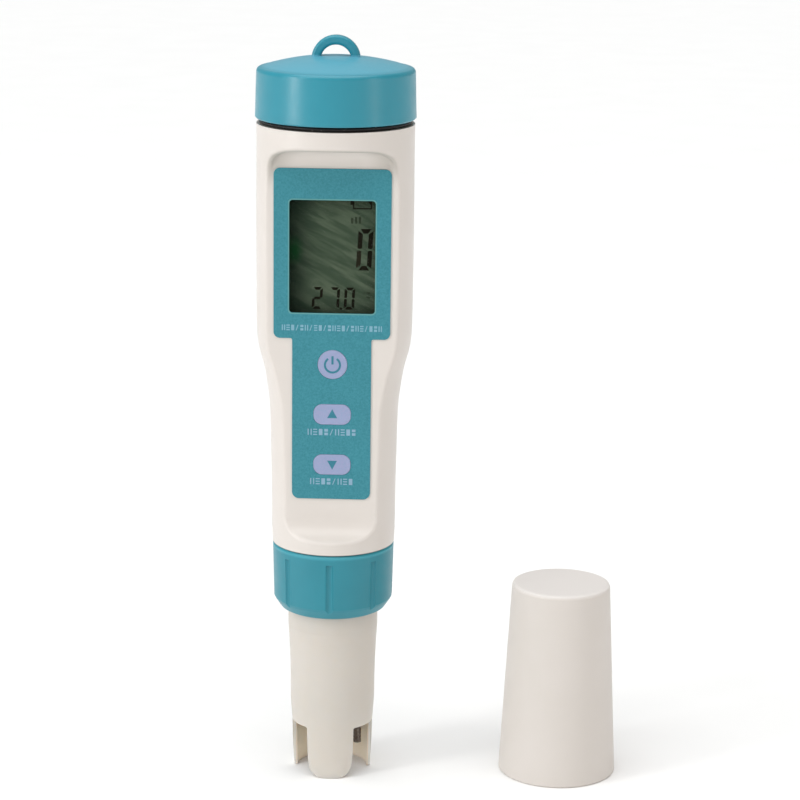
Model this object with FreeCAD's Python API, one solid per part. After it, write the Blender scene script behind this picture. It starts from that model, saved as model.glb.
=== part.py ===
import FreeCAD, Part
import math, os

# pH test pen: a hand-held water tester with a screw-on battery cap, a grooved
# ring nut that clamps a plug-in probe, and a loose protective cap beside it.
# Millimetres. Z is the pen's own axis, Z = 0 is the plane that the probe's
# three prongs stand on, and the face with the display looks along -Y.

V = FreeCAD.Vector

# ---------------------------------------------------------------- dimensions
WALL = 1.9                    # case wall
CASE_Z0, CASE_Z1 = 58.6, 160.05
CASE_PROFILE = [(14.72, 58.6), (14.80, 60.0), (14.92, 66.0), (14.97, 75.0), (15.10, 81.0),
                (15.20, 87.0), (15.30, 90.0), (15.43, 93.0), (15.75, 96.0), (16.19, 99.0),
                (16.74, 102.0), (17.56, 105.0), (18.20, 108.0), (18.44, 111.0), (18.55, 117.0),
                (18.60, 125.0), (18.63, 134.0), (18.60, 146.0), (18.56, 154.0), (18.60, 160.05)]
FLAT_Y = -10.0                # depth of the flat face
FLAT_Z0, FLAT_Z1 = 66.9, 151.3
COVE_BOTTOM_Z, COVE_TOP_Z = 61.95, 155.7
FLAT_WALL = 1.8
RECESS_TOP = [(24.0, 132.0), (18.6, 137.0), (16.3, 141.5), (15.5, 145.5), (14.9, 149.3),
              (13.9, 152.3), (12.0, 154.25), (9.3, 155.1), (5.0, 155.45), (0.0, 155.55)]

LABEL_T = 0.25
LABEL_TOP = (13.7, 110.5, 150.7, 1.5)     # half width, low z, high z, corner radius
LABEL_NECK = (9.3, 71.5, 1.7)             # half width, low z, corner radius
WINDOW = (10.05, 116.6, 143.3, 0.8)       # half width, low z, high z, corner radius

KEY_X = 0.2
POWER_Z, POWER_D = 104.3, 6.96
UP_Z, DOWN_Z = 92.2, 79.95
KEY_W, KEY_H, KEY_R = 8.86, 4.95, 2.1
KEY_GAP = 0.05
KEY_TRAVEL = 0.3

NECK_R, NECK_BORE, NECK_TOP = 15.2, 13.6, 168.4
CAP_PITCH = 3.0
CAP_THREAD_CREST = 16.0
CAP_RIM_Z, CAP_EDGE_Z = 161.3, 173.0
CAP_R0, CAP_R1, CAP_APEX = 18.9, 18.6, 175.75
CAP_BORE = 16.3

LOOP_OUT, LOOP_IN, LOOP_TOP, LOOP_T = 5.75, 3.6, 180.5, 2.6

TAIL_R, TAIL_BORE, TAIL_Z = 12.1, 10.3, 48.4
NUT_PITCH = 2.5
NUT_Z0, NUT_Z1 = 42.0, 58.35
NUT_BORE, NUT_LIP = 13.0, 11.1

PROBE_PROFILE = [(9.42, 0.0), (9.52, 3.0), (9.75, 7.5), (9.95, 13.8), (10.2, 17.0), (10.3, 23.0),
                 (10.6, 32.5), (10.82, 36.4)]
COLLAR_R, COLLAR_Z0, COLLAR_Z1 = 10.9, 37.2, 41.9
FLANGE_R, FLANGE_Z0, FLANGE_Z1 = 12.2, 44.5, 47.4
SLOT_W, SLOT_TOP = 8.3, 12.8
HOLDER_Z0 = 15.0

COVER_X, COVER_Y = 55.66, 2.60
COVER_H, COVER_R0, COVER_R1, COVER_WALL = 48.0, 14.38, 11.93, 1.3

CELL_R, CELL_H, CELL_X, CELL_Y = 5.8, 5.4, 0.0, 6.0
CELL_TOP = 169.25
PCB_Y0, PCB_Y1 = -3.4, -1.8


# ------------------------------------------------------------------- helpers
def face_of(points, close=True):
    pts = [V(*p) for p in points]
    if close:
        pts.append(pts[0])
    return Part.Face(Part.makePolygon(pts))


def revolve_polygon(rz):
    """Solid of revolution about Z from a closed outline of (radius, z)."""
    return face_of([(r, 0, z) for r, z in rz]).revolve(V(0, 0, 0), V(0, 0, 1), 360)


def revolve_smooth(rz, z_low=None, z_high=None):
    """Solid of revolution whose outer wall is a smooth curve through (radius, z)."""
    curve = Part.BSplineCurve()
    curve.interpolate([V(r, 0, z) for r, z in rz])
    first, last = rz[0], rz[-1]
    edges = [curve.toShape(),
             Part.makeLine(V(last[0], 0, last[1]), V(0, 0, last[1])),
             Part.makeLine(V(0, 0, last[1]), V(0, 0, first[1])),
             Part.makeLine(V(0, 0, first[1]), V(first[0], 0, first[1]))]
    return Part.Face(Part.Wire(edges)).revolve(V(0, 0, 0), V(0, 0, 1), 360)


def cyl(r, z0, z1, x=0.0, y=0.0):
    return Part.makeCylinder(r, z1 - z0, V(x, y, z0), V(0, 0, 1))


def cone(r0, r1, z0, z1, x=0.0, y=0.0):
    return Part.makeCone(r0, r1, z1 - z0, V(x, y, z0), V(0, 0, 1))


def box(x0, x1, y0, y1, z0, z1):
    return Part.makeBox(x1 - x0, y1 - y0, z1 - z0, V(x0, y0, z0))


def ycyl(r, y0, y1, x, z):
    return Part.makeCylinder(r, y1 - y0, V(x, y0, z), V(0, 1, 0))


def rounded(x0, x1, z0, z1, r, y0, y1):
    """Plate with rounded corners lying in the X-Z plane, from y0 to y1."""
    b = box(x0, x1, y0, y1, z0, z1)
    up = [e for e in b.Edges if abs(e.Vertexes[0].Point.y - e.Vertexes[1].Point.y) > 1e-6]
    return b.makeFillet(r, up)


def fuse(*shapes):
    out = shapes[0]
    for s in shapes[1:]:
        out = out.fuse(s)
    return out.removeSplitter()


def soften(shape, radius, choose):
    """Round the chosen edges, with a smaller radius where the full one will not fit."""
    edges = [e for e in shape.Edges if choose(e)]
    for k in (1.0, 0.7, 0.45, 0.25):
        try:
            out = shape.makeFillet(radius * k, edges)
            if out.isValid() and out.Volume > 0 and len(out.Solids) == len(shape.Solids):
                return out
        except Exception:
            pass
    return shape


def helix_ridge(r_root, r_crest, pitch, z_start, turns, w_root, w_crest):
    """Screw ridge with a trapezoid section, right-handed about Z."""
    path = Part.makeHelix(pitch, pitch * turns, r_root)
    path.translate(V(0, 0, z_start))
    prof = Part.makePolygon([V(r_root, 0, z_start - w_root / 2), V(r_crest, 0, z_start - w_crest / 2),
                             V(r_crest, 0, z_start + w_crest / 2), V(r_root, 0, z_start + w_root / 2),
                             V(r_root, 0, z_start - w_root / 2)])
    ridge = Part.Wire(path.Edges).makePipeShell([prof], True, True)
    if ridge.Volume < 0:
        ridge.reverse()
    return ridge


def save(name, shape):
    solids = shape.Solids
    assert solids, name
    keep = Part.makeCompound(solids) if len(solids) > 1 else solids[0]
    assert keep.isValid(), name + " is not valid"
    assert all(s.Volume > 0 for s in solids), name
    keep.exportStep("parts/" + name + ".step")
    print("%-24s solids %2d  volume %9.2f  z %7.2f to %7.2f" %
          (name, len(solids), keep.Volume, keep.BoundBox.ZMin, keep.BoundBox.ZMax))


def key_outline(z, y0, y1, grow):
    return rounded(KEY_X - KEY_W / 2 - grow, KEY_X + KEY_W / 2 + grow,
                   z - KEY_H / 2 - grow, z + KEY_H / 2 + grow, KEY_R + grow, y0, y1)


def power_outline(y0, y1, grow):
    return ycyl(POWER_D / 2 + grow, y0, y1, KEY_X, POWER_Z)


# ---------------------------------------------------------------------- case
def case_radius(z):
    for (r0, z0), (r1, z1) in zip(CASE_PROFILE, CASE_PROFILE[1:]):
        if z0 <= z <= z1:
            return r0 + (r1 - r0) * (z - z0) / (z1 - z0)
    return CASE_PROFILE[0][0] if z < CASE_PROFILE[0][1] else CASE_PROFILE[-1][0]


def make_recess():
    """Cutter for the flat face: a cove at each end and well rounded upper corners."""
    a0, b0 = 4.9, FLAT_Z0 - COVE_BOTTOM_Z
    a1, b1 = 4.6, COVE_TOP_Z - FLAT_Z1

    def cove(y_in, z_in, a, b, sign):
        pts = []
        for i in range(9):
            t = math.pi / 2 * i / 8
            pts.append(V(0, y_in - a + a * math.cos(t), z_in + sign * b * math.sin(t)))
        c = Part.BSplineCurve()
        c.interpolate(pts)
        return c.toShape(), pts[-1]
    low, low_end = cove(FLAT_Y, FLAT_Z0, a0, b0, -1)
    high, high_end = cove(FLAT_Y, FLAT_Z1, a1, b1, +1)
    edges = [Part.makeLine(V(0, FLAT_Y, FLAT_Z0), V(0, FLAT_Y, FLAT_Z1)), high,
             Part.makeLine(high_end, V(0, -26, high_end.z)),
             Part.makeLine(V(0, -26, high_end.z), V(0, -26, low_end.z)),
             Part.makeLine(V(0, -26, low_end.z), low_end), low]
    scoop = Part.Face(Part.Wire(Part.__sortEdges__(edges))).extrude(V(60, 0, 0))
    scoop.translate(V(-30, 0, 0))
    half = RECESS_TOP
    pts = [V(x, 0, z) for x, z in half] + [V(-x, 0, z) for x, z in reversed(half[:-1])]
    crown = Part.BSplineCurve()
    crown.interpolate(pts)
    first, last = pts[0], pts[-1]
    wire = Part.Wire([crown.toShape(), Part.makeLine(last, V(last.x, 0, 50)),
                      Part.makeLine(V(last.x, 0, 50), V(first.x, 0, 50)), Part.makeLine(V(first.x, 0, 50), first)])
    prism = Part.Face(wire).extrude(V(0, -30, 0))
    cutter = scoop.common(prism)
    seam = [e for e in cutter.Edges if e.BoundBox.YMin > -15.5 and e.BoundBox.ZMax > 140
            and e.BoundBox.XLength > 1.0 and e.BoundBox.ZLength > 0.5]
    return soften(cutter, 1.0, lambda e: any(e.isSame(k) for k in seam))


def make_case():
    body = revolve_smooth(CASE_PROFILE)
    body = body.cut(make_recess())

    def rim(e):
        # edges that lie on the round outer surface round the flat face
        if e.BoundBox.YMax > -9.0 or e.BoundBox.ZMin < 61 or e.BoundBox.ZMax > 157 or e.Length < 0.8:
            return False
        for k in (0.15, 0.5, 0.85):
            p = e.valueAt(e.FirstParameter + k * (e.LastParameter - e.FirstParameter))
            if abs(math.hypot(p.x, p.y) - case_radius(p.z)) > 0.06:
                return False
        return True
    body = soften(body, 1.0, rim)
    # hollow
    inner = [(r - WALL, z) for r, z in CASE_PROFILE if 61.0 < z]
    inner = [(12.85, 60.6)] + inner[:-1] + [(CASE_PROFILE[-1][0] - WALL - 0.6, 158.2)]
    hollow = revolve_smooth(inner)
    hollow = hollow.cut(box(-30, 30, -30, FLAT_Y + FLAT_WALL, 55, 157.6))
    body = body.cut(hollow)
    body = body.cut(cyl(NECK_BORE, 158.0, 161.0)).cut(cyl(TAIL_BORE, 58.0, 61.0))
    # threaded neck under the battery cap and threaded tail inside the ring nut
    neck = cyl(NECK_R, 159.0, NECK_TOP).cut(cyl(NECK_BORE, 158.0, NECK_TOP + 1))
    tail = cyl(TAIL_R, TAIL_Z, 59.5).cut(cyl(TAIL_BORE, TAIL_Z - 1, 61.0))
    body = fuse(body, neck, tail)
    ridge_top = helix_ridge(NECK_R - 0.15, CAP_THREAD_CREST, CAP_PITCH, 162.9, 1.35, 1.5, 0.7)
    ridge_low = helix_ridge(TAIL_R - 0.15, 12.75, NUT_PITCH, 50.4, 2.4, 1.2, 0.6)
    body = body.fuse(ridge_top).fuse(ridge_low)
    # display opening, key pockets and stem holes
    body = body.cut(box(-11.3, 11.3, FLAT_Y - 1, FLAT_Y + FLAT_WALL + 1, 115.3, 144.6))
    body = body.cut(power_outline(FLAT_Y - 1, FLAT_Y + 0.6, 0.15))
    body = body.cut(ycyl(2.65, FLAT_Y - 1, FLAT_Y + 4, KEY_X, POWER_Z))
    for z in (UP_Z, DOWN_Z):
        body = body.cut(key_outline(z, FLAT_Y - 1, FLAT_Y + 0.6, 0.15))
        body = body.cut(ycyl(1.95, FLAT_Y - 1, FLAT_Y + 4, KEY_X, z))
    # bosses that carry the circuit board
    for x, z in ((-9.5, 150.2), (9.5, 150.2), (0.2, 70.6)):
        boss = ycyl(2.1, FLAT_Y + FLAT_WALL - 0.4, PCB_Y0, x, z)
        body = body.fuse(boss).cut(ycyl(0.95, FLAT_Y + FLAT_WALL + 0.6, PCB_Y0 + 1, x, z))
    return body


# ------------------------------------------------------------ label and lens
def make_label():
    hw, z0, z1, r = LABEL_TOP
    nw, nz0, nr = LABEL_NECK
    y0, y1 = FLAT_Y - LABEL_T, FLAT_Y
    top = rounded(-hw, hw, z0, z1, r, y0, y1)
    neck = rounded(-nw, nw, nz0, z0 + 6, nr, y0, y1)
    lab = fuse(top, neck)
    # small rounds in the two inner corners where the neck meets the head
    inner = [e for e in lab.Edges if abs(e.BoundBox.YLength - LABEL_T) < 1e-6 and
             abs(e.BoundBox.ZMin - z0) < 1e-6 and abs(abs(e.BoundBox.XMin) - nw) < 1e-6
             and e.BoundBox.XLength < 1e-6]
    if inner:
        lab = lab.makeFillet(0.5, inner)
    w, wz0, wz1, wr = WINDOW
    lab = lab.cut(rounded(-w, w, wz0, wz1, wr, y0 - 1, y1 + 1))
    lab = lab.cut(power_outline(y0 - 1, y1 + 1, KEY_GAP))
    for z in (UP_Z, DOWN_Z):
        lab = lab.cut(key_outline(z, y0 - 1, y1 + 1, KEY_GAP))
    return lab


def make_key(kind, z):
    top, under = FLAT_Y - 0.30, FLAT_Y - 0.05
    if kind == "power":
        pad = power_outline(top, under, 0.0)
        stem = ycyl(2.35, under - 0.1, -7.70, KEY_X, z)
    else:
        pad = key_outline(z, top, under, 0.0)
        stem = ycyl(1.65, under - 0.1, -7.70, KEY_X, z)
    pad = soften(pad, 0.12, lambda e: abs(e.BoundBox.YMax - top) < 1e-6)
    return fuse(pad, stem)


# --------------------------------------------------------------- battery end
def make_battery_cap():
    # skirt and shallow dome, revolved from one outline with a rounded shoulder
    e = []
    p = [V(CAP_BORE, 0, CAP_RIM_Z), V(CAP_R0 - 0.25, 0, CAP_RIM_Z), V(CAP_R0, 0, CAP_RIM_Z + 0.3),
         V(CAP_R1, 0, CAP_EDGE_Z - 1.0)]
    for a, b in zip(p, p[1:]):
        e.append(Part.makeLine(a, b))
    e.append(Part.Arc(p[-1], V(CAP_R1 - 0.33, 0, CAP_EDGE_Z - 0.22), V(CAP_R1 - 1.15, 0, CAP_EDGE_Z + 0.1)).toShape())
    # the dome is part of a sphere centred on the axis
    rise = CAP_APEX - CAP_EDGE_Z - 0.1
    rho = ((CAP_R1 - 1.15) ** 2 + rise ** 2) / (2 * rise)
    e.append(Part.Arc(V(CAP_R1 - 1.15, 0, CAP_EDGE_Z + 0.1),
                      V(9.2, 0, CAP_APEX - rho + math.sqrt(rho ** 2 - 9.2 ** 2)), V(0, 0, CAP_APEX)).toShape())
    q = [V(0, 0, CAP_APEX), V(0, 0, 172.0), V(15.2, 0, 172.0), V(CAP_BORE, 0, 170.9), V(CAP_BORE, 0, CAP_RIM_Z)]
    for a, b in zip(q, q[1:]):
        e.append(Part.makeLine(a, b))
    cap = Part.Face(Part.Wire(e)).revolve(V(0, 0, 0), V(0, 0, 1), 360)
    # boss that carries the contact plate
    cap = fuse(cap, cyl(10.3, 169.8, 172.6).cut(cyl(7.6, 169.0, 172.0)))
    # moulded lanyard eye: half ring standing on two feet on the dome
    zc = LOOP_TOP - LOOP_OUT
    ring = Part.makeCylinder(LOOP_OUT, LOOP_T, V(0, -LOOP_T / 2, zc), V(0, 1, 0))
    feet = box(-LOOP_OUT, LOOP_OUT, -LOOP_T / 2, LOOP_T / 2, 174.2, zc)
    loop = ring.fuse(feet).removeSplitter()
    zi = 178.25 - LOOP_IN
    hole = Part.makeCylinder(LOOP_IN, LOOP_T + 2, V(0, -LOOP_T / 2 - 1, zi), V(0, 1, 0))
    hole = hole.fuse(box(-LOOP_IN, LOOP_IN, -LOOP_T / 2 - 1, LOOP_T / 2 + 1, 170.0, zi)).removeSplitter()
    loop = loop.cut(hole).cut(box(-9, 9, -9, 9, 165, 174.2))
    loop = soften(loop, 0.75, lambda ed: ed.BoundBox.ZMax > 175.5 and
                  ed.BoundBox.YLength < 1e-6 and ed.BoundBox.DiagonalLength > 1.0)
    cap = fuse(cap, loop)
    cap = cap.fuse(helix_ridge(CAP_BORE + 0.15, 15.5, CAP_PITCH, 162.9 + CAP_PITCH / 2 - 0.05, 1.35, 1.5, 0.7))
    return cap


def make_battery_holder():
    tube = cyl(CELL_R + 1.2, 143.5, 167.0, CELL_X, CELL_Y)
    deck = cyl(13.5, 165.6, 167.0)
    body = fuse(tube, deck)
    body = body.cut(cyl(CELL_R + 0.15, 144.5, 170.0, CELL_X, CELL_Y))
    body = body.cut(box(-7.7, -4.3, -2.3, -1.0, 160, 170))
    # finger slot down the back of the tube for pushing the cells out
    body = body.cut(box(-2.0, 2.0, CELL_Y + 4, CELL_Y + 9, 147.0, 160.0))
    return body


def make_cells():
    out = []
    for i in range(4):
        z1 = CELL_TOP - i * CELL_H
        z0 = z1 - CELL_H + 0.04
        can = cyl(CELL_R, z0, z1 - 0.6, CELL_X, CELL_Y)
        can = soften(can, 0.35, lambda e: e.BoundBox.ZMax < z0 + 0.01)
        out.append(fuse(can, cyl(CELL_R - 0.55, z1 - 0.7, z1, CELL_X, CELL_Y)))
    return Part.makeCompound(out)


def make_spring():
    path = Part.makeHelix(0.95, 2.35, 4.4, -18)
    ring = [V(4.4 + 0.3 * math.cos(math.pi * k / 4), 0, 0.3 * math.sin(math.pi * k / 4)) for k in range(8)]
    prof = Part.makePolygon(ring + [ring[0]])
    coil = Part.Wire(path.Edges).makePipeShell([prof], True, True)
    if coil.Volume < 0:
        coil.reverse()
    coil.translate(V(CELL_X, CELL_Y, 144.9))
    return coil


# --------------------------------------------------------------- display set
def make_board():
    head = box(-13.0, 13.0, PCB_Y0, PCB_Y1, 111.5, 152.4)
    body = box(-8.6, 8.6, PCB_Y0, PCB_Y1, 61.0, 112.0)
    b = fuse(head, body)
    for x, z in ((-9.5, 150.2), (9.5, 150.2), (0.2, 70.6)):
        b = b.cut(ycyl(1.15, PCB_Y0 - 1, PCB_Y1 + 1, x, z))
    return b


def make_screws():
    out = []
    for x, z in ((-9.5, 150.2), (9.5, 150.2), (0.2, 70.6)):
        shank = ycyl(0.85, PCB_Y0 - 3.6, PCB_Y1 + 0.2, x, z)
        head = ycyl(1.9, PCB_Y1, PCB_Y1 + 1.3, x, z)
        head = soften(head, 0.5, lambda e: abs(e.BoundBox.YMin - (PCB_Y1 + 1.3)) < 1e-6)
        s = fuse(shank, head)
        s = s.cut(box(x - 1.1, x + 1.1, PCB_Y1 + 0.7, PCB_Y1 + 2, z - 0.22, z + 0.22))
        s = s.cut(box(x - 0.22, x + 0.22, PCB_Y1 + 0.7, PCB_Y1 + 2, z - 1.1, z + 1.1))
        out.append(s)
    return Part.makeCompound(out)


def make_switches():
    out = []
    for z in (POWER_Z, UP_Z, DOWN_Z):
        s = box(KEY_X - 3.0, KEY_X + 3.0, -6.8, PCB_Y0, z - 3.0, z + 3.0)
        s = s.cut(ycyl(1.85, -7.5, -5.2, KEY_X, z))
        out.append(s)
    return Part.makeCompound(out)


def make_plunger(z):
    return ycyl(1.7, -7.62, -5.7, KEY_X, z)


def make_small_components():
    out = []
    for x, z, w, h, t in ((-5.5, 98.0, 3.2, 1.6, 0.7), (-5.5, 94.5, 3.2, 1.6, 0.7), (-5.5, 88.0, 2.0, 1.3, 0.6),
                          (5.2, 99.0, 1.3, 2.0, 0.6), (5.2, 94.0, 1.3, 2.0, 0.6), (2.6, 83.0, 5.0, 4.0, 1.5),
                          (-4.6, 80.5, 3.9, 4.9, 1.6), (9.6, 118.0, 1.6, 3.2, 0.7), (9.6, 123.5, 1.6, 3.2, 0.7),
                          (-9.4, 121.0, 3.2, 7.0, 2.4), (4.6, 74.5, 2.0, 1.25, 0.6), (-5.0, 74.0, 2.0, 1.25, 0.6)):
        out.append(box(x - w / 2, x + w / 2, PCB_Y1, PCB_Y1 + t, z - h / 2, z + h / 2))
    return Part.makeCompound(out)


def make_mcu():
    chip = box(-5.0, 5.0, PCB_Y1 + 0.15, PCB_Y1 + 1.45, 111.0 + 4.5, 111.0 + 14.5)
    legs = []
    for i in range(8):
        z = 116.4 + i * 1.15
        legs.append(box(-6.1, -5.0, PCB_Y1, PCB_Y1 + 0.45, z - 0.2, z + 0.2))
        legs.append(box(5.0, 6.1, PCB_Y1, PCB_Y1 + 0.45, z - 0.2, z + 0.2))
    return fuse(chip, *legs)


# ------------------------------------------------------------------ ring nut
def make_ring_nut():
    rz = [(NUT_LIP, NUT_Z0), (12.1, NUT_Z0), (12.75, NUT_Z0 + 0.35), (14.05, NUT_Z0 + 2.25), (14.36, NUT_Z0 + 2.85),
          (14.66, NUT_Z1 - 0.45), (14.35, NUT_Z1), (NUT_BORE, NUT_Z1), (NUT_BORE, 44.4), (NUT_LIP, 44.4)]
    nut = revolve_polygon(rz)
    for i in range(8):
        # shallow round-bottomed groove, parallel to the slightly tapered wall
        g = cyl(1.02, 43.3, 56.15)
        g.rotate(V(0, 0, 43.3), V(0, 1, 0), 1.3)
        g.translate(V(14.33 + 0.50, 0, 0))
        g.rotate(V(0, 0, 0), V(0, 0, 1), -90 + 45 * i)
        nut = nut.cut(g)
    nut = nut.fuse(helix_ridge(NUT_BORE + 0.15, 12.4, NUT_PITCH, 50.4 + NUT_PITCH / 2, 2.4, 1.2, 0.6))
    return nut


# --------------------------------------------------------------------- probe
def make_probe_housing():
    outer = revolve_smooth(PROBE_PROFILE)
    top = revolve_polygon([(0, 36.4), (10.82, 36.4), (COLLAR_R, COLLAR_Z0), (COLLAR_R, COLLAR_Z1), (10.5, COLLAR_Z1),
                           (10.5, FLANGE_Z0), (FLANGE_R, FLANGE_Z0), (FLANGE_R, FLANGE_Z1), (0, FLANGE_Z1)])
    body = outer.fuse(top)
    inner = revolve_polygon([(0, -1), (8.48, -1), (8.5, 0.0), (8.85, HOLDER_Z0), (9.0, HOLDER_Z0),
                             (9.0, FLANGE_Z1 + 1), (0, FLANGE_Z1 + 1)])
    body = body.cut(inner)
    for a in (60, 180, 300):
        s = box(-SLOT_W / 2, SLOT_W / 2, -14, 0, -2, SLOT_TOP)
        up = [e for e in s.Edges if e.BoundBox.ZMin > SLOT_TOP - 1e-6 and e.BoundBox.YLength > 1]
        s = s.makeFillet(0.45, up)
        s.rotate(V(0, 0, 0), V(0, 0, 1), a)
        body = body.cut(s)
    # the front prong has well rounded lower corners, the two others small ones
    for a, r in ((0, 3.7), (120, 1.4), (240, 1.4)):
        half = 5.27
        for side in (-1, 1):
            c = box(0, r + 1, -14, -3, -1, r).cut(ycyl(r, -15, -2, 0, r))
            c = c.cut(box(-1, 0.0, -15, -2, -2, r + 1))
            if side < 0:
                c = c.mirror(V(0, 0, 0), V(1, 0, 0))
            c.translate(V(side * (half - r), 0, 0))
            c.rotate(V(0, 0, 0), V(0, 0, 1), a)
            body = body.cut(c)
    return body


def make_sensor_holder():
    h = cyl(8.7, HOLDER_Z0, HOLDER_Z0 + 1).fuse(cyl(8.95, HOLDER_Z0, FLANGE_Z1))
    for x, y, r in SENSORS.values():
        h = h.cut(cyl(r, HOLDER_Z0 - 1, HOLDER_Z0 + 6, x, y))
    return h


SENSORS = {"bulb": (-0.5, 0.6, 3.1), "ec1": (6.15, 0.6, 0.95), "ec2": (3.7, 5.1, 0.95),
           "orp": (3.9, -4.4, 1.0), "ref": (-2.6, -5.9, 1.3), "temp": (-4.3, 4.9, 1.2)}


def make_bulb():
    x, y, r = SENSORS["bulb"]
    stem = cyl(r, 10.0, HOLDER_Z0 + 6, x, y)
    ball = Part.makeSphere(3.8, V(x, y, 8.0))
    glass = fuse(stem, ball)
    inside = fuse(Part.makeSphere(3.3, V(x, y, 8.0)), cyl(r - 0.7, 9.0, HOLDER_Z0 + 5.5, x, y))
    return glass.cut(inside)


def make_bulb_wire():
    x, y, r = SENSORS["bulb"]
    w = cyl(0.4, 7.4, HOLDER_Z0 + 5.4, x, y)
    return fuse(w, cyl(0.75, 7.0, 10.4, x, y))


def make_plug():
    p = cyl(6.9, FLANGE_Z1, 49.9)
    p = fuse(p, box(-1.0, 1.0, 6.0, 8.0, FLANGE_Z1, 49.9))
    for i in range(6):
        a = math.radians(60 * i + 30)
        p = p.cut(cyl(0.5, FLANGE_Z1 + 0.8, 51, 4.3 * math.cos(a), 4.3 * math.sin(a)))
    return p


def make_pins():
    out = []
    for i in range(6):
        a = math.radians(60 * i + 30)
        pin = cyl(0.5, FLANGE_Z1 + 0.8, 55.6, 4.3 * math.cos(a), 4.3 * math.sin(a))
        pin = soften(pin, 0.3, lambda e: e.BoundBox.ZMin > 55.59)
        out.append(pin)
    return Part.makeCompound(out)


def make_socket():
    s = cyl(7.2, 50.3, 60.9)
    s = s.cut(box(-1.3, 1.3, 5.7, 9.0, 50.0, 53.0))
    for i in range(6):
        a = math.radians(60 * i + 30)
        s = s.cut(cyl(0.65, 50.0, 56.4, 4.3 * math.cos(a), 4.3 * math.sin(a)))
    return s


# ------------------------------------------------------------ protective cap
def make_cover():
    w = COVER_WALL
    def r_at(z):
        return COVER_R0 + (COVER_R1 - COVER_R0) * z / COVER_H
    rz = [(r_at(0) - w - 0.15, 0.0), (r_at(0) - 0.35, 0.0), (r_at(0.35), 0.35), (r_at(COVER_H - 0.8), COVER_H - 0.8),
          (r_at(COVER_H) - 0.24, COVER_H - 0.22), (r_at(COVER_H) - 0.85, COVER_H), (0, COVER_H),
          (0, COVER_H - 1.5), (r_at(COVER_H - 1.5) - w, COVER_H - 1.5), (r_at(0.5) - w, 0.5)]
    c = revolve_polygon(rz)
    c.translate(V(COVER_X, COVER_Y, 0))
    return c


def make_cover_seal():
    s = cyl(12.62, 2.0, 5.0).cut(cyl(10.95, 1.0, 6.0))
    s.translate(V(COVER_X, COVER_Y, 0))
    return s


def main():
    os.makedirs("parts", exist_ok=True)
    save("case", make_case())
    save("front_label", make_label())
    save("display_window", box(-11.2, 11.2, FLAT_Y, FLAT_Y + 1.5, 115.4, 144.5))
    save("lcd_panel", box(-12.3, 12.3, -8.05, -5.85, 113.6, 146.3))
    frame = box(-13.5, 13.5, -8.0, PCB_Y0, 112.4, 147.4).cut(box(-12.4, 12.4, -9, 0, 113.5, 146.4))
    save("display_frame", frame)
    save("backlight_panel", box(-11.0, 11.0, -5.8, -3.6, 117.0, 143.0))
    save("zebra_connectors", Part.makeCompound([box(-11.5, 11.5, -5.85, PCB_Y0, 114.0, 116.0),
                                                box(-11.5, 11.5, -5.85, PCB_Y0, 144.0, 146.0)]))
    save("circuit_board", make_board())
    save("board_screws", make_screws())
    save("microcontroller", make_mcu())
    save("small_components", make_small_components())
    save("key_switches", make_switches())
    save("power_key", make_key("power", POWER_Z))
    save("up_key", make_key("up", UP_Z))
    save("down_key", make_key("down", DOWN_Z))
    save("power_plunger", make_plunger(POWER_Z))
    save("up_plunger", make_plunger(UP_Z))
    save("down_plunger", make_plunger(DOWN_Z))
    save("probe_socket", make_socket())

    save("battery_cap", make_battery_cap())
    ring = Part.Face(Part.Wire([Part.Edge(Part.Ellipse(V(0, 0, 0), 0.93, 0.56))]))
    ring.rotate(V(0, 0, 0), V(1, 0, 0), 90)
    ring.translate(V(17.05, 0, 160.675))
    save("battery_cap_o_ring", ring.revolve(V(0, 0, 0), V(0, 0, 1), 360))
    save("battery_contact_plate", cyl(10.2, 169.3, 169.8))
    save("battery_holder", make_battery_holder())
    save("button_cells", make_cells())
    save("battery_spring", make_spring())
    strip = fuse(box(-7.2, -4.8, PCB_Y1, PCB_Y1 + 0.3, 146.5, 169.2), box(-7.2, -4.8, -4.6, PCB_Y1 + 0.3, 168.9, 169.2))
    save("battery_side_contact", strip)

    save("ring_nut", make_ring_nut())
    save("probe_housing", make_probe_housing())
    oring = cyl(12.0, FLANGE_Z1 + 0.04, TAIL_Z - 0.06).cut(cyl(10.7, FLANGE_Z1 - 1, TAIL_Z + 1))
    save("probe_o_ring", soften(oring, 0.3, lambda e: True))
    save("sensor_holder", make_sensor_holder())
    save("ph_glass_bulb", make_bulb())
    save("ph_silver_wire", make_bulb_wire())
    x, y, r = SENSORS["ref"]
    save("reference_junction", cyl(r, 13.2, HOLDER_Z0 + 6, x, y))
    x, y, r = SENSORS["orp"]
    orp = soften(cyl(r, 8.6, HOLDER_Z0 + 6, x, y), 0.5, lambda e: e.BoundBox.ZMax < 8.61)
    save("orp_electrode", orp)
    pins = []
    for k in ("ec1", "ec2"):
        x, y, r = SENSORS[k]
        pin = cyl(r, 6.1, HOLDER_Z0 + 6, x, y)
        for i in range(9):
            z = 6.9 + 0.9 * i
            pin = pin.cut(cyl(r + 1, z, z + 0.35, x, y).cut(cyl(r - 0.14, z - 1, z + 2, x, y)))
        pins.append(pin)
    save("ec_electrodes", Part.makeCompound(pins))
    x, y, r = SENSORS["temp"]
    tube = soften(cyl(r, 6.6, HOLDER_Z0 + 6, x, y), 0.9, lambda e: e.BoundBox.ZMax < 6.61)
    save("temperature_sensor", tube)
    save("probe_plug", make_plug())
    save("probe_pins", make_pins())

    save("protective_cap", make_cover())
    save("cap_seal", make_cover_seal())


main()
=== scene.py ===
import bpy, bmesh, math
from mathutils import Matrix, Vector


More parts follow.
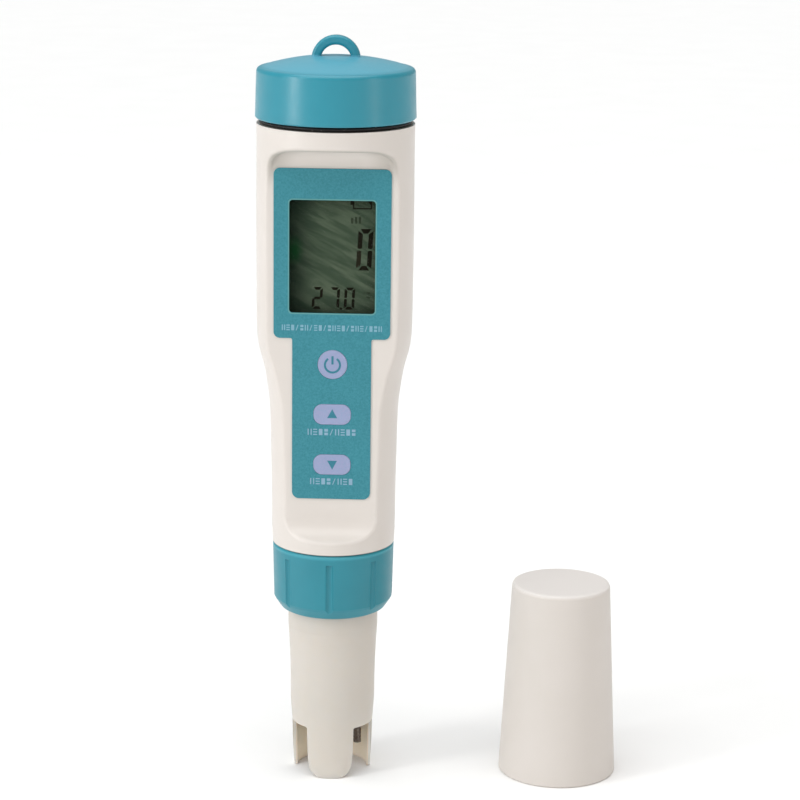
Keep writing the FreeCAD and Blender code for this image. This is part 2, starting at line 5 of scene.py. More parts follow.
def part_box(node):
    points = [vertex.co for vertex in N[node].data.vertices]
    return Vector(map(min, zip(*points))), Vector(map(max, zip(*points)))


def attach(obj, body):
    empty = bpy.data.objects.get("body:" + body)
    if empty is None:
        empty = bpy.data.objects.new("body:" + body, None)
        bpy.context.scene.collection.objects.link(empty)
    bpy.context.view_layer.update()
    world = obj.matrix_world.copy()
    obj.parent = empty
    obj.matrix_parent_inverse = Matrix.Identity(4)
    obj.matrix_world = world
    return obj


# pH test pen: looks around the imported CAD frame. Metres; drawing sizes below are in millimetres.
MM = 0.001

# ------------------------------------------------------------------ camera
cam_data = bpy.data.cameras.new("camera")
cam_data.sensor_width = 36.0
cam_data.lens = 116.18
cam_data.clip_start = 0.05
cam_data.clip_end = 50.0
cam = bpy.data.objects.new("camera", cam_data)
bpy.context.scene.collection.objects.link(cam)
right = Vector((0.99911936, 0.04028148, 0.01174357))
down = Vector((0.02093926, -0.2361385, -0.97149377))
fwd = Vector((-0.0363601, 0.97088414, -0.23677401))
m = Matrix((right, -down, -fwd)).transposed().to_4x4()
m.translation = Vector((0.038311, -0.600925, 0.240142))
cam.matrix_world = m
bpy.context.scene.camera = cam
bpy.context.scene.view_settings.view_transform = "Standard"

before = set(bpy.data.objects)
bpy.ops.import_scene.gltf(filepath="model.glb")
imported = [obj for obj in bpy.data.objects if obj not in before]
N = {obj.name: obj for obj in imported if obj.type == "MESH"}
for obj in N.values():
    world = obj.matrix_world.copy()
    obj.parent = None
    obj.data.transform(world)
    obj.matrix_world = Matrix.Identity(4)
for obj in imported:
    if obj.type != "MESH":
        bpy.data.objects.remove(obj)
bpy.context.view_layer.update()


# --------------------------------------------------------------- materials
def lin(c):
    """sRGB 0-255 to linear."""
    out = []
    for v in c:
        v = v / 255.0
        out.append(v / 12.92 if v <= 0.04045 else ((v + 0.055) / 1.055) ** 2.4)
    return tuple(out)


def scale(c, k):
    return tuple(min(1.0, v * k) for v in c)


class Mat:
    def __init__(self, name, **shader):
        self.m = bpy.data.materials.new(name)
        self.m.use_nodes = True
        self.t = self.m.node_tree
        self.t.nodes.clear()
        self.out = self.t.nodes.new("ShaderNodeOutputMaterial")
        self.p = self.t.nodes.new("ShaderNodeBsdfPrincipled")
        self.t.links.new(self.p.outputs[0], self.out.inputs[0])
        for k, v in shader.items():
            self.p.inputs[k.replace("_", " ")].default_value = v
        self.coord = self.t.nodes.new("ShaderNodeTexCoord")
        mp = self.t.nodes.new("ShaderNodeMapping")
        mp.inputs["Scale"].default_value = (1000, 1000, 1000)
        self.t.links.new(self.coord.outputs["Object"], mp.inputs[0])
        self.mm = mp.outputs[0]
        self.bump_out = None

    def link(self, a, b):
        self.t.links.new(a, b)

    def mapping(self, scale=(1, 1, 1), rot=(0, 0, 0), loc=(0, 0, 0), vec=None):
        mp = self.t.nodes.new("ShaderNodeMapping")
        mp.inputs["Scale"].default_value = scale
        mp.inputs["Rotation"].default_value = rot
        mp.inputs["Location"].default_value = loc
        self.link(vec or self.mm, mp.inputs[0])
        return mp.outputs[0]

    def noise(self, size, detail=3.0, rough=0.55, vec=None, distortion=0.0):
        n = self.t.nodes.new("ShaderNodeTexNoise")
        n.inputs["Scale"].default_value = 1.0 / size
        n.inputs["Detail"].default_value = detail
        n.inputs["Roughness"].default_value = rough
        n.inputs["Distortion"].default_value = distortion
        self.link(vec or self.mm, n.inputs["Vector"])
        return n.outputs["Fac"]

    def voronoi(self, size, vec=None, feature="F1"):
        n = self.t.nodes.new("ShaderNodeTexVoronoi")
        n.feature = feature
        n.inputs["Scale"].default_value = 1.0 / size
        self.link(vec or self.mm, n.inputs["Vector"])
        return n.outputs["Distance"]

    def wave(self, size, direction="X", vec=None, distortion=0.0, profile="SIN"):
        n = self.t.nodes.new("ShaderNodeTexWave")
        n.bands_direction = direction
        n.wave_profile = profile
        n.inputs["Scale"].default_value = 0.314 / size
        n.inputs["Distortion"].default_value = distortion
        self.link(vec or self.mm, n.inputs["Vector"])
        return n.outputs["Fac"]

    def range(self, v, a, b, c=0.0, d=1.0, smooth=False):
        n = self.t.nodes.new("ShaderNodeMapRange")
        if smooth:
            n.interpolation_type = "SMOOTHSTEP"
        for i, x in zip((1, 2, 3, 4), (a, b, c, d)):
            n.inputs[i].default_value = x
        self.link(v, n.inputs[0])
        return n.outputs[0]

    def math(self, op, a, b=None):
        n = self.t.nodes.new("ShaderNodeMath")
        n.operation = op
        for i, x in enumerate((a, b)):
            if x is None:
                continue
            if isinstance(x, (int, float)):
                n.inputs[i].default_value = x
            else:
                self.link(x, n.inputs[i])
        return n.outputs[0]

    def mix(self, fac, a, b, mode="MIX"):
        n = self.t.nodes.new("ShaderNodeMix")
        n.data_type = "RGBA"
        n.blend_type = mode
        if isinstance(fac, (int, float)):
            n.inputs[0].default_value = fac
        else:
            self.link(fac, n.inputs[0])
        for i, x in ((6, a), (7, b)):
            if isinstance(x, tuple):
                n.inputs[i].default_value = (*x[:3], 1.0)
            else:
                self.link(x, n.inputs[i])
        return n.outputs[2]

    def xyz(self, vec=None):
        n = self.t.nodes.new("ShaderNodeSeparateXYZ")
        self.link(vec or self.mm, n.inputs[0])
        return n.outputs

    def color(self, c):
        self.link(c, self.p.inputs["Base Color"])

    def rough(self, v):
        self.link(v, self.p.inputs["Roughness"])

    def bump(self, height, depth_mm, strength=1.0):
        n = self.t.nodes.new("ShaderNodeBump")
        n.inputs["Strength"].default_value = strength
        n.inputs["Distance"].default_value = depth_mm * MM
        self.link(height, n.inputs["Height"])
        if self.bump_out is not None:
            self.link(self.bump_out, n.inputs["Normal"])
        self.bump_out = n.outputs[0]
        self.link(self.bump_out, self.p.inputs["Normal"])
        return self


def plastic(name, rgb, rough=0.4, tint=0.03, blotch=9.0, grain=0.35, depth=0.006, rvar=0.05, spec=0.5,
            warm=0.0, speck=0.0, zones=(), **kw):
    """Moulded plastic: slow colour drift, fine moulded skin in the bump, uneven gloss."""
    s = Mat(name, Roughness=rough, **{"Specular_IOR_Level": spec}, **kw)
    base = lin(rgb)
    lo = (base[0] * (1 - tint), base[1] * (1 - tint), base[2] * (1 - tint * (1 + warm)))
    hi = scale(base, 1 + tint)
    drift = s.range(s.noise(blotch, 3.0), 0.32, 0.68, 0, 1)
    c = s.mix(drift, lo, hi)
    if speck:
        dots = s.range(s.noise(grain * 1.6, 1.0, 0.4), 0.35, 0.65, 0.0, 1.0)
        c = s.mix(dots, c, s.mix(speck, c, scale(base, 0.72)))
    # zones lay painted light and painted shade over the colour
    for z in zones:
        c = z(s, c)
    s.color(c)
    fine = s.noise(grain, 2.0, 0.6)
    s.rough(s.math("ADD", s.range(s.noise(blotch * 0.35, 4.0), 0.3, 0.7, rough - rvar, rough + rvar),
                   s.range(fine, 0.3, 0.7, -rvar * 0.4, rvar * 0.4)))
    s.bump(fine, depth)
    return s.m


def painted_light_shade_band(levels, rgb, k=1.0):
    """Painted light and shade between two levels: another colour that fades in from levels[0] to [1] and out from [2]
    to [3], in mm.
    """
    def put(s, c):
        z = s.xyz()[2]
        f = s.range(z, levels[0], levels[1], 0.0, k, smooth=True)
        f = s.math("MULTIPLY", f, s.range(z, levels[2], levels[3], 1.0, 0.0, smooth=True))
        return s.mix(f, c, lin(rgb))
    return put


def radius_of(s):
    x, y, z = s.xyz()
    return s.math("SQRT", s.math("ADD", s.math("MULTIPLY", x, x), s.math("MULTIPLY", y, y)))


def guard_painted_light(s, c):
    """Painted light inside the probe guard: ivory on the inner walls and near-white on the slot faces, which both lie
    in shade.
    """
    r = radius_of(s)
    low = s.range(s.xyz()[2], 15.7, 15.2, 0.0, 1.0, smooth=True)
    side = s.range(s.math("ABSOLUTE", s.xyz()[0]), 5.6, 6.4, 0.0, 1.0, smooth=True)
    slot_painted_light = s.math("MULTIPLY", s.math("MULTIPLY", s.range(r, 9.6, 9.4, 0.0, 1.0, smooth=True), low), side)
    c = s.mix(slot_painted_light, c, lin((248, 243, 234)))
    return s.mix(s.math("MULTIPLY", s.range(r, 9.05, 8.95, 0.0, 1.0, smooth=True), low), c, lin((252, 234, 214)))


def cove_painted_shade(s, c):
    """Painted shade on the upper cove of the front recess, strongest under its rim."""
    r = radius_of(s)
    f = s.range(r, 18.6, 18.1, 0.0, 1.0, smooth=True)
    f = s.math("MULTIPLY", f, s.range(r, 17.6, 12.5, 0.95, 0.12, smooth=True))
    f = s.math("MULTIPLY", f, s.range(s.xyz()[2], 145.0, 153.5, 0.0, 1.0, smooth=True))
    return s.mix(f, c, lin((184, 178, 170)))


def metal(name, rgb, rough=0.28, brush=(1, 1, 1), size=0.12, depth=0.004, tint=0.08):
    s = Mat(name, Metallic=1.0, Roughness=rough)
    base = lin(rgb)
    n = s.noise(size, 4.0, 0.65, vec=s.mapping(scale=brush))
    s.color(s.mix(s.range(s.noise(2.2, 3.0), 0.3, 0.7), scale(base, 1 - tint), scale(base, 1 + tint)))
    s.rough(s.range(n, 0.3, 0.7, rough - 0.08, rough + 0.1))
    s.bump(n, depth)
    return s.m


def give(node, mat):
    o = N[node]
    o.data.materials.clear()
    o.data.materials.append(mat)


# ----- teal mouldings
# painted light: a lighter teal band over the top dome (172.7 to 176 mm), standing in for light from above
teal_cap = plastic("teal_cap_plastic", (34, 138, 157), 0.33, spec=0.6, tint=0.03, blotch=11, grain=0.6, depth=0.002,
                   rvar=0.04, zones=(painted_light_shade_band((172.7, 173.5, 175.75, 176.0), (88, 168, 190)),))
# painted highlight: a lighter teal band (57.1 to 61 mm) along the nut's top edge
teal_nut = plastic("teal_nut_plastic", (34, 130, 146), 0.38, tint=0.03, blotch=8, grain=0.5, depth=0.003, rvar=0.04,
                   zones=(painted_light_shade_band((57.1, 57.9, 60.0, 61.0), (56, 154, 170)),))
# ----- whites
# the cove zone is painted shade in the upper cove of the front recess; the dark teal band from 58.1 to 58.8 mm is a
# painted shadow line in the joint above the nut
case_white = plastic("case_white_plastic", (217, 210, 204), 0.34, tint=0.012, blotch=22, grain=0.5, depth=0.003,
                     rvar=0.05, warm=0.6,
                     zones=(cove_painted_shade, painted_light_shade_band((58.1, 58.3, 58.6, 58.8), (70, 104, 106), 0.8)))
# guard zone: painted light on the inner walls and slot faces of the probe guard
probe_white = plastic("probe_white_plastic", (207, 200, 192), 0.44, tint=0.016, blotch=14, grain=0.35, depth=0.004,
                      rvar=0.05, warm=0.7, zones=(guard_painted_light,), Subsurface_Weight=0.4, Subsurface_Scale=0.004,
                      Subsurface_Radius=(1.0, 0.8, 0.6))
# painted light: a lighter band over the top of the cover (47.2 to 51 mm)
cover_white = plastic("cover_white_plastic", (212, 205, 199), 0.46, tint=0.014, blotch=16, grain=0.3, depth=0.004,
                      rvar=0.05, warm=0.6, zones=(painted_light_shade_band((47.2, 47.9, 50.0, 51.0), (222, 217, 213)),))


# ----- grained label film
def film(name, rgb, dots_rgb, amount, rough=0.62):
    s = Mat(name, Roughness=rough, Specular_IOR_Level=0.4)
    base, dots = lin(rgb), lin(dots_rgb)
    drift = s.mix(s.range(s.noise(7.0, 2.0), 0.3, 0.7), scale(base, 0.975), scale(base, 1.025))
    g = s.noise(0.42, 3.0, 0.7)
    c = s.mix(s.math("MULTIPLY", s.range(g, 0.36, 0.66), amount), drift, dots)
    s.color(c)
    s.rough(s.range(g, 0.3, 0.7, rough - 0.08, rough + 0.08))
    s.bump(s.noise(0.16, 3.0, 0.6), 0.012)
    return s.m


label_mat = film("label_film", (44, 124, 137), (66, 144, 158), 0.75)
key_mat = film("key_film", (142, 157, 190), (160, 158, 194), 0.6)
print_pale = film("print_pale", (126, 172, 190), (112, 160, 180), 0.5, 0.55)
print_lilac = film("print_lilac", (136, 170, 192), (126, 160, 184), 0.5, 0.55)
print_line = film("print_line", (94, 156, 156), (80, 142, 146), 0.5, 0.55)
print_teal = film("print_teal", (44, 118, 138), (60, 130, 150), 0.5, 0.55)


# ----- display
def display_mat():
    s = Mat("display_cell", Roughness=0.5, Specular_IOR_Level=0.0)
    x, y, z = s.xyz()
    dark, mid, light = lin((32, 48, 38)), lin((73, 89, 72)), lin((108, 122, 101))
    # painted sheen: lighter diagonal streaks where smears on the window catch the light
    v = s.mapping(scale=(0.16, 1, 1), vec=s.mapping(rot=(0, math.radians(-27), 0)))
    st = s.noise(1.5, 4.0, 0.6, vec=v, distortion=0.4)
    c = s.mix(s.range(st, 0.40, 0.74), mid, light)
    # painted shade from the window recess: darker towards the left edge, the top and the bottom
    c = s.mix(s.range(x, -11.5, -0.5, 0.93, 0.0, smooth=True), c, dark)
    c = s.mix(s.range(z, 139.0, 144.5, 0.0, 0.4, smooth=True), c, dark)
    c = s.mix(s.range(z, 123.0, 116.0, 0.0, 0.42, smooth=True), c, dark)
    # green glow low on the left edge, where the light guide shows
    dx = s.math("MULTIPLY", s.math("ADD", x, 9.0), 0.36)
    dz = s.math("MULTIPLY", s.math("ADD", z, -131.0), 0.22)
    d = s.math("SQRT", s.math("ADD", s.math("MULTIPLY", dx, dx), s.math("MULTIPLY", dz, dz)))
    c = s.mix(s.range(d, 1.0, 0.0, 0.0, 0.8, smooth=True), c, lin((16, 74, 38)))
    # a few specks of dust
    c = s.mix(s.range(s.voronoi(2.6), 0.035, 0.02, 0.0, 0.4), c, lin((126, 132, 118)))
    s.color(c)
    s.rough(s.range(st, 0.3, 0.7, 0.34, 0.48))
    s.bump(st, 0.004)
    return s.m


def segment_mat(name, rgb, k):
    s = Mat(name, Roughness=0.5, Specular_IOR_Level=0.0)
    base = lin(rgb)
    s.color(s.mix(s.range(s.noise(0.9, 2.0), 0.3, 0.7), scale(base, 1 - k), scale(base, 1 + k)))
    s.bump(s.noise(0.3, 2.0), 0.002)
    return s.m


seg_dark = segment_mat("segments_dark", (37, 35, 28), 0.15)
seg_faint = segment_mat("segments_faint", (62, 72, 58), 0.1)
seg_half = segment_mat("segments_half", (50, 48, 38), 0.15)


def lens_mat():
    s = Mat("display_lens", Roughness=0.03, IOR=1.18)
    s.p.inputs["Base Color"].default_value = (0.0, 0.0, 0.0, 1)
    s.p.inputs["Alpha"].default_value = 0.1
    sm = s.noise(2.6, 4.0, 0.65, vec=s.mapping(scale=(0.22, 1, 1), vec=s.mapping(rot=(0, math.radians(-30), 0))),
                 distortion=0.6)
    s.rough(s.range(sm, 0.45, 0.75, 0.0, 0.05))
    s.bump(sm, 0.0006)
    return s.m


# ----- rubber, metals, inner pieces
def rubber(name, rgb, rough=0.6, dust=0.0):
    s = Mat(name, Roughness=rough, Specular_IOR_Level=0.4)
    base = lin(rgb)
    c = s.mix(s.range(s.noise(3.0, 3.0), 0.3, 0.7), scale(base, 0.8), scale(base, 1.25))
    if dust:
        d = s.range(s.noise(0.55, 2.0, 0.5), 0.66, 0.74, 0, dust)
        c = s.mix(d, c, lin((150, 148, 142)))
    s.color(c)
    s.rough(s.range(s.noise(0.6, 3.0), 0.3, 0.7, rough - 0.1, rough + 0.1))
    s.bump(s.noise(0.25, 3.0), 0.01)
    return s.m


def clear(name, rgb, rough=0.05, ior=1.5):
    s = Mat(name, Roughness=rough, IOR=ior)
    s.p.inputs["Transmission Weight"].default_value = 1.0
    s.p.inputs["Base Color"].default_value = (*rgb, 1)
    n = s.noise(1.8, 3.0)
    s.rough(s.range(n, 0.3, 0.7, rough * 0.6, rough * 1.6))
    s.bump(n, 0.002)
    return s.m


def board():
    s = Mat("board_mask", Roughness=0.35, Specular_IOR_Level=0.5)
    tr = s.range(s.wave(1.27, "X", distortion=2.0), 0.42, 0.5)
    c = s.mix(tr, lin((22, 88, 48)), lin((34, 112, 62)))
    c = s.mix(s.range(s.noise(2.5, 2.0), 0.4, 0.6), c, lin((18, 76, 42)))
    s.color(c)
    s.rough(s.range(s.noise(0.4, 2.0), 0.3, 0.7, 0.28, 0.42))
    s.bump(tr, 0.02)
    return s.m


def stripes(name, a, b, pitch, axis, rough=0.5):
    s = Mat(name, Roughness=rough)
    w = s.range(s.wave(pitch, axis), 0.45, 0.55)
    s.color(s.mix(w, lin(a), lin(b)))
    s.rough(s.range(s.noise(0.5), 0.3, 0.7, rough - 0.08, rough + 0.08))
    s.bump(w, 0.01)
    return s.m


def ec_metal():
    """Dark drawn metal with fine lengthwise streaks and rings."""
    s = Mat("electrode_metal", Metallic=0.75, Roughness=0.42)
    n = s.noise(0.35, 3.0, 0.6, vec=s.mapping(scale=(2.2, 2.2, 0.12)))
    s.color(s.mix(s.range(n, 0.38, 0.62), lin((64, 54, 48)), lin((150, 138, 128))))
    s.rough(s.range(n, 0.3, 0.7, 0.34, 0.55))
    s.bump(n, 0.012)
    return s.m


give("battery_cap", teal_cap)
give("ring_nut", teal_nut)
give("case", case_white)
give("probe_housing", probe_white)
give("protective_cap", cover_white)
give("front_label", label_mat)
for k in ("power_key", "up_key", "down_key"):
    give(k, key_mat)
give("display_window", lens_mat())
give("lcd_panel", display_mat())
black_ring = rubber("black_rubber_ring", (20, 20, 21), 0.5, dust=0.8)
give("battery_cap_o_ring", black_ring)
give("probe_o_ring", black_ring)
give("cap_seal", rubber("silicone_seal", (196, 198, 192), 0.45))
give("display_frame", plastic("frame_plastic", (214, 214, 208), 0.5))
give("backlight_panel", plastic("light_guide", (190, 226, 200), 0.3, spec=0.6))
give("zebra_connectors", stripes("zebra_rubber", (212, 150, 160), (52, 46, 48), 0.3, "X"))
give("circuit_board", board())
steel = metal("zinc_steel", (176, 176, 178), 0.3)
give("board_screws", steel)
give("microcontroller", plastic("chip_epoxy", (34, 34, 36), 0.55, grain=0.15, depth=0.01))
give("small_components", plastic("component_body", (120, 104, 82), 0.5, tint=0.25, blotch=2.5))
switch_black = plastic("switch_plastic", (38, 38, 41), 0.5, tint=0.08)
for k in ("key_switches", "power_plunger", "up_plunger", "down_plunger", "probe_socket", "probe_plug"):
    give(k, switch_black)
nickel = metal("nickel_plate", (186, 180, 168), 0.25, brush=(1, 6, 1))
for k in ("battery_contact_plate", "battery_spring", "battery_side_contact"):
    give(k, nickel)
give("battery_holder", plastic("holder_plastic", (226, 224, 217), 0.5))
give("button_cells", metal("cell_can", (190, 190, 186), 0.22, brush=(1, 1, 8)))
give("sensor_holder", plastic("potting_resin", (58, 56, 54), 0.5, tint=0.12, blotch=3, grain=0.4, depth=0.02))
give("ph_glass_bulb", clear("ph_glass", (0.93, 0.96, 0.97), 0.02, 1.5))
give("ph_silver_wire", metal("silver_wire", (172, 168, 160), 0.35))
give("reference_junction", plastic("ceramic_wick", (226, 221, 208), 0.75, grain=0.2, depth=0.02))
give("orp_electrode", metal("platinum_pin", (182, 178, 172), 0.18))
give("ec_electrodes", ec_metal())
give("temperature_sensor", metal("sensor_steel", (170, 168, 165), 0.25, brush=(1, 1, 0.2)))
give("probe_pins", metal("gold_pins", (214, 172, 84), 0.2))


# ------------------------------------------------------------ small meshes
def mesh_piece(name, bm, mat, body, smooth=False):
    me = bpy.data.meshes.new(name)
    bmesh.ops.recalc_face_normals(bm, faces=bm.faces)
    bm.to_mesh(me)
    bm.free()
    o = bpy.data.objects.new(name, me)
    bpy.context.scene.collection.objects.link(o)
    me.materials.append(mat)
    for p in me.polygons:
        p.use_smooth = smooth
    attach(o, body)
    return o


def slab(bm, outline, y0, y1, holes=()):
    """Closed plate from an outline of (x, z) in mm, between y0 and y1 (y0 is the front)."""
    def loop(pts, y):
        return [bm.verts.new((x * MM, y * MM, z * MM)) for x, z in pts]
    if not holes:
        f, b = loop(outline, y0), loop(outline, y1)
        bm.faces.new(f)
        bm.faces.new(list(reversed(b)))
        n = len(f)
        for i in range(n):
            bm.faces.new((f[(i + 1) % n], f[i], b[i], b[(i + 1) % n]))
        return
    inner = holes[0]
    fo, fi, bo, bi = loop(outline, y0), loop(inner, y0), loop(outline, y1), loop(inner, y1)
    n = len(fo)
    for i in range(n):
        j = (i + 1) % n
        bm.faces.new((fo[i], fo[j], fi[j], fi[i]))
        bm.faces.new((bo[j], bo[i], bi[i], bi[j]))
        bm.faces.new((fo[j], fo[i], bo[i], bo[j]))
        bm.faces.new((fi[i], fi[j], bi[j], bi[i]))


def round_rect(x0, x1, z0, z1, r, n=6):
    pts = []
    for cx, cz, a in ((x1 - r, z1 - r, 0), (x0 + r, z1 - r, 90), (x0 + r, z0 + r, 180), (x1 - r, z0 + r, 270)):
        for i in range(n + 1):
            t = math.radians(a + 90 * i / n)
            pts.append((cx + r * math.cos(t), cz + r * math.sin(t)))
    return pts


LABEL_Y = -10.25
PRINT = 0.02
KEY_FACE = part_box("power_key")[0][1] / MM

# pale line round the display opening
bm = bmesh.new()
slab(bm, round_rect(-10.35, 10.35, 116.3, 143.6, 1.05), LABEL_Y - PRINT, LABEL_Y + 0.01,
     holes=(round_rect(-10.06, 10.06, 116.59, 143.31, 0.8),))
mesh_piece("display_border_line", bm, print_line, "pen_body")


# rows of neutral marks where the printed legends sit
def marks(bm, x0, x1, zc, h, groups, y, t=0.26):
    """Rows of small mark figures with slanted dividers between the groups. No figure is a letter."""
    units = sum(groups) + (len(groups) - 1)
    step = (x1 - x0) / (units - 0.26)
    w = step * 0.74
    x, n = x0, 0
    z0, z1 = zc - h / 2, zc + h / 2

    def bar(a, b, c, d):
        slab(bm, round_rect(a, b, c, d, min(0.05, (b - a) * 0.3, (d - c) * 0.3), 2), y - PRINT, y + 0.01)
    for gi, g in enumerate(groups):
        for i in range(g):
            k = n % 4
            n += 1
            if k == 0:                      # two posts
                bar(x, x + t, z0, z1)
                bar(x + w - t, x + w, z0, z1)
            elif k == 1:                    # three level strokes
                for zz in (z0, zc - t / 2, z1 - t):
                    bar(x, x + w, zz, zz + t)
            elif k == 2:                    # solid block
                bar(x + w * 0.06, x + w * 0.94, z0, z1)
            else:                           # two small blocks, one over the other
                bar(x + w * 0.06, x + w * 0.94, z0, zc - t * 0.5)
                bar(x + w * 0.06, x + w * 0.94, zc + t * 0.5, z1)
            x += step
        if gi < len(groups) - 1:
            slab(bm, [(x + 0.02, z0), (x + 0.02 + t * 0.8, z0), (x + w * 0.85, z1), (x + w * 0.85 - t * 0.8, z1)],
                 y - PRINT, y + 0.01)
            x += step


bm = bmesh.new()
marks(bm, -11.75, 11.75, 113.05, 1.35, (3, 2, 2, 4, 3, 3), LABEL_Y)
mesh_piece("display_legend_marks", bm, print_pale, "pen_body")
bm = bmesh.new()
marks(bm, -5.6, 5.8, 87.9, 1.5, (4, 4), LABEL_Y)
mesh_piece("up_legend_marks", bm, print_lilac, "pen_body")
bm = bmesh.new()
marks(bm, -4.95, 5.15, 75.8, 1.5, (4, 3), LABEL_Y)
mesh_piece("down_legend_marks", bm, print_lilac, "pen_body")

# power symbol: open ring with a bar
bm = bmesh.new()
cx, cz, ro, ri = 0.2, 104.2, 2.03, 1.53
outer, inner = [], []
for i in range(41):
    t = math.radians(90 + 34 + (360 - 68) * i / 40)
    outer.append((cx + ro * math.cos(t), cz + ro * math.sin(t)))
    inner.append((cx + ri * math.cos(t), cz + ri * math.sin(t)))
slab(bm, outer + inner[::-1], KEY_FACE - PRINT, KEY_FACE + 0.01)
slab(bm, round_rect(cx - 0.26, cx + 0.26, 104.35, 106.35, 0.1, 3), KEY_FACE - PRINT, KEY_FACE + 0.01)
mesh_piece("power_symbol", bm, print_teal, "power_button")

for nm, body, pts in (("up_symbol", "up_button", [(-0.98, 91.35), (1.38, 91.35), (0.2, 93.5)]),
                      ("down_symbol", "down_button", [(-0.95, 80.92), (0.25, 78.75), (1.4, 80.92)])):
    bm = bmesh.new()
    slab(bm, pts, KEY_FACE - PRINT, KEY_FACE + 0.01)
    mesh_piece(nm, bm, print_teal, body)

# ------------------------------------------------------- display segments
SEG_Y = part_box("lcd_panel")[0][1] / MM


def digit(bm, x, z, w, h, t, segs, slant):
    """Seven-segment figure. x, z is the lower left corner, slant is mm of lean per mm of height."""
    g = t * 0.16
    mid = h / 2

    def put(pts):
        slab(bm, [(x + px + slant * pz, z + pz) for px, pz in pts], SEG_Y - 0.03, SEG_Y + 0.005)
    b = t * 0.5
    shapes = {
        "a": [(g + b * .6, h), (w - g - b * .6, h), (w - t - g, h - t), (t + g, h - t)],
        "d": [(g + b * .6, 0), (t + g, t), (w - t - g, t), (w - g - b * .6, 0)],
        "f": [(0, h - g - b * .6), (t, h - t - g), (t, mid + b * .7), (b * .8, mid + g), (0, mid + b * .7)],
        "e": [(0, g + b * .6), (0, mid - b * .7), (b * .8, mid - g), (t, mid - b * .7), (t, t + g)],
        "b": [(w, h - g - b * .6), (w, mid + b * .7), (w - b * .8, mid + g), (w - t, mid + b * .7), (w - t, h - t - g)],
        "c": [(w, g + b * .6), (w - t, t + g), (w - t, mid - b * .7), (w - b * .8, mid - g), (w, mid - b * .7)],
        "g": [(t * 0.7, mid), (t * 1.1, mid + t / 2), (w - t * 1.1, mid + t / 2), (w - t * 0.7, mid),
              (w - t * 1.1, mid - t / 2), (t * 1.1, mid - t / 2)],
    }
    for s in segs:
        put(shapes[s])


lean = 0.05
bm = bmesh.new()
digit(bm, 5.5, 126.55, 3.5, 9.8, 1.06, "abcdf", lean)          # large 0
# battery outline, upper half under the label's edge
for a in ((4.05, 4.65, 142.0, 143.6), (4.65, 4.92, 141.25, 144.6), (4.65, 9.05, 141.0, 141.27), (8.8, 9.05, 141.25, 144.6)):
    slab(bm, [(a[0], a[2]), (a[1], a[2]), (a[1], a[3]), (a[0], a[3])], SEG_Y - 0.03, SEG_Y + 0.005)
slab(bm, [(7.5, 143.6), (8.8, 142.0), (8.8, 144.4), (7.3, 144.4)], SEG_Y - 0.03, SEG_Y + 0.005)
mesh_piece("display_figures_large", bm, seg_dark, "pen_body")
bm = bmesh.new()
digit(bm, 5.4, 126.55, 3.5, 9.8, 1.06, "e", lean)
mesh_piece("display_figures_weak", bm, seg_half, "pen_body")
bm = bmesh.new()
digit(bm, -4.95, 117.15, 2.45, 5.25, 0.64, "abged", lean)          # 2
digit(bm, -0.9, 117.15, 2.4, 5.25, 0.64, "abc", lean)            # 7
digit(bm, 2.6, 117.15, 2.45, 5.25, 0.64, "abcdef", lean)           # 0
slab(bm, round_rect(1.72, 2.2, 117.1, 117.58, 0.1, 3), SEG_Y - 0.03, SEG_Y + 0.005)
mesh_piece("display_figures_small", bm, seg_dark, "pen_body")

# faint unlit marks of the display: a degree ring and small blocks
bm = bmesh.new()


def ring(bm, cx, cz, rx, rz, t, a0=0, a1=360, n=24):
    o, i = [], []
    for k in range(n + 1):
        a = math.radians(a0 + (a1 - a0) * k / n)
        o.append((cx + rx * math.cos(a), cz + rz * math.sin(a)))
        i.append((cx + (rx - t) * math.cos(a), cz + (rz - t) * math.sin(a)))
    if a1 - a0 >= 360:
        slab(bm, o[:-1], SEG_Y - 0.03, SEG_Y + 0.005, holes=(i[:-1],))
    else:
        slab(bm, o + i[::-1], SEG_Y - 0.03, SEG_Y + 0.005)


def bar(bm, x0, x1, z0, z1):
    slab(bm, [(x0, z0), (x1, z0), (x1, z1), (x0, z1)], SEG_Y - 0.03, SEG_Y + 0.005)


ring(bm, 7.35, 121.15, 0.3, 0.3, 0.13)
bar(bm, 7.95, 8.75, 120.9, 121.35)
bar(bm, 7.95, 8.75, 119.85, 120.3)
bar(bm, 4.2, 4.75, 137.6, 138.9)
bar(bm, 5.1, 5.65, 137.6, 139.2)
bar(bm, 6.0, 6.55, 137.6, 139.2)
mesh_piece("display_units_faint", bm, seg_faint, "pen_body")


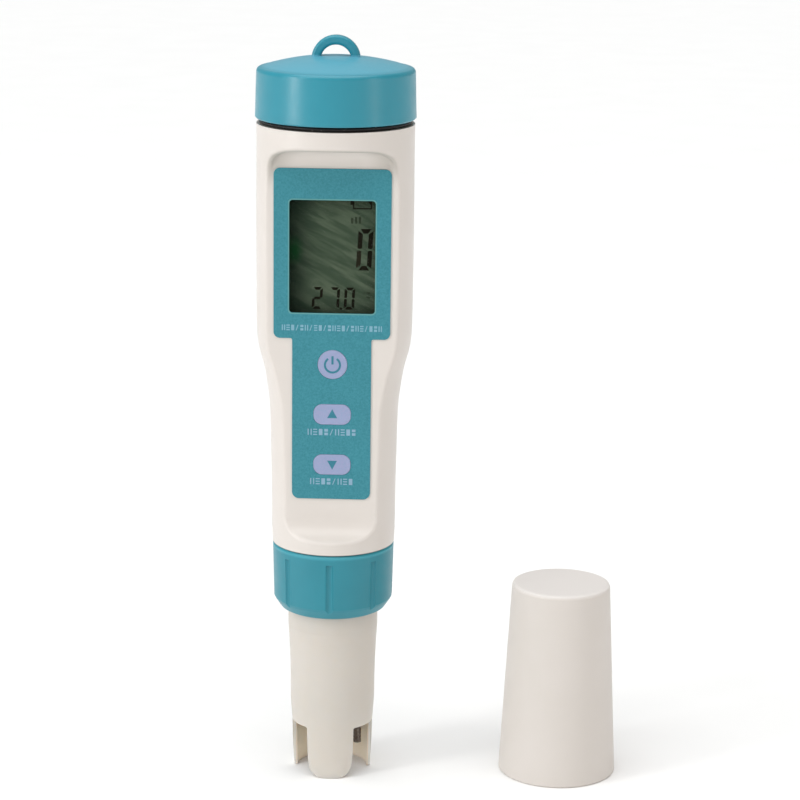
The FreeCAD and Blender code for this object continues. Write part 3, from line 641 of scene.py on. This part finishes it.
# ------------------------------------------------------------------ stage
def stage_floor():
    bm = bmesh.new()
    R, n = 14.0, 64
    c = bm.verts.new((0, 0, 0))
    ringv = [bm.verts.new((R * math.cos(2 * math.pi * i / n), R * math.sin(2 * math.pi * i / n), 0)) for i in range(n)]
    for i in range(n):
        bm.faces.new((c, ringv[i], ringv[(i + 1) % n]))
    me = bpy.data.meshes.new("floor")
    bm.to_mesh(me)
    bm.free()
    o = bpy.data.objects.new("floor", me)
    bpy.context.scene.collection.objects.link(o)
    s = Mat("floor_paper", Roughness=0.9, Specular_IOR_Level=0.2)
    s.color(s.mix(s.range(s.noise(40.0, 3.0), 0.3, 0.7), (0.925, 0.925, 0.92), (0.94, 0.94, 0.935)))
    s.bump(s.noise(0.8, 3.0), 0.01)
    me.materials.append(s.m)
    return o


stage_floor()


def area(name, loc, aim, size_x, size_y, power, color=(1, 1, 1)):
    d = bpy.data.lights.new(name, "AREA")
    d.shape = "RECTANGLE"
    d.size, d.size_y = size_x, size_y
    d.energy = power
    d.color = color
    o = bpy.data.objects.new(name, d)
    bpy.context.scene.collection.objects.link(o)
    o.location = loc
    o.rotation_euler = (Vector(aim) - Vector(loc)).to_track_quat("-Z", "Y").to_euler()
    return o


aim = Vector((0.01, 0.0, 0.09))


def direction(az, el):
    """Unit vector from the pen; az is degrees to the right of the front, el is degrees up."""
    a, e = math.radians(-90 + az), math.radians(el)
    return Vector((math.cos(a) * math.cos(e), math.sin(a) * math.cos(e), math.sin(e)))


def softbox(name, az, el, dist, size_x, size_y, power, color=(1, 1, 1)):
    v = direction(az, el)
    o = area(name, aim + v * dist, aim, size_x, size_y, power, color)
    o.rotation_euler = v.to_track_quat("Z", "Y").to_euler()


def sun(name, az, el, angle, strength, color=(1, 1, 1)):
    d = bpy.data.lights.new(name, "SUN")
    d.energy = strength * math.pi
    d.angle = math.radians(angle)
    d.color = color
    o = bpy.data.objects.new(name, d)
    bpy.context.scene.collection.objects.link(o)
    o.rotation_euler = direction(az, el).to_track_quat("Z", "Y").to_euler()


softbox("key_left", -58, 10, 1.0, 0.19, 0.95, 4.2, (0.99, 0.99, 0.98))
softbox("fill_right", 60, 10, 1.1, 0.20, 0.9, 1.4, (1.0, 0.90, 0.80))
sun("broad_left", -60, 36, 50, 0.07, (0.90, 0.97, 1.0))
sun("broad_top", -25, 80, 70, 0.67, (0.99, 0.995, 1.0))

world = bpy.data.worlds.new("studio")
world.use_nodes = True
world.node_tree.nodes["Background"].inputs[0].default_value = (1.0, 0.995, 0.985, 1)
world.node_tree.nodes["Background"].inputs[1].default_value = 0.385
bpy.context.scene.world = world
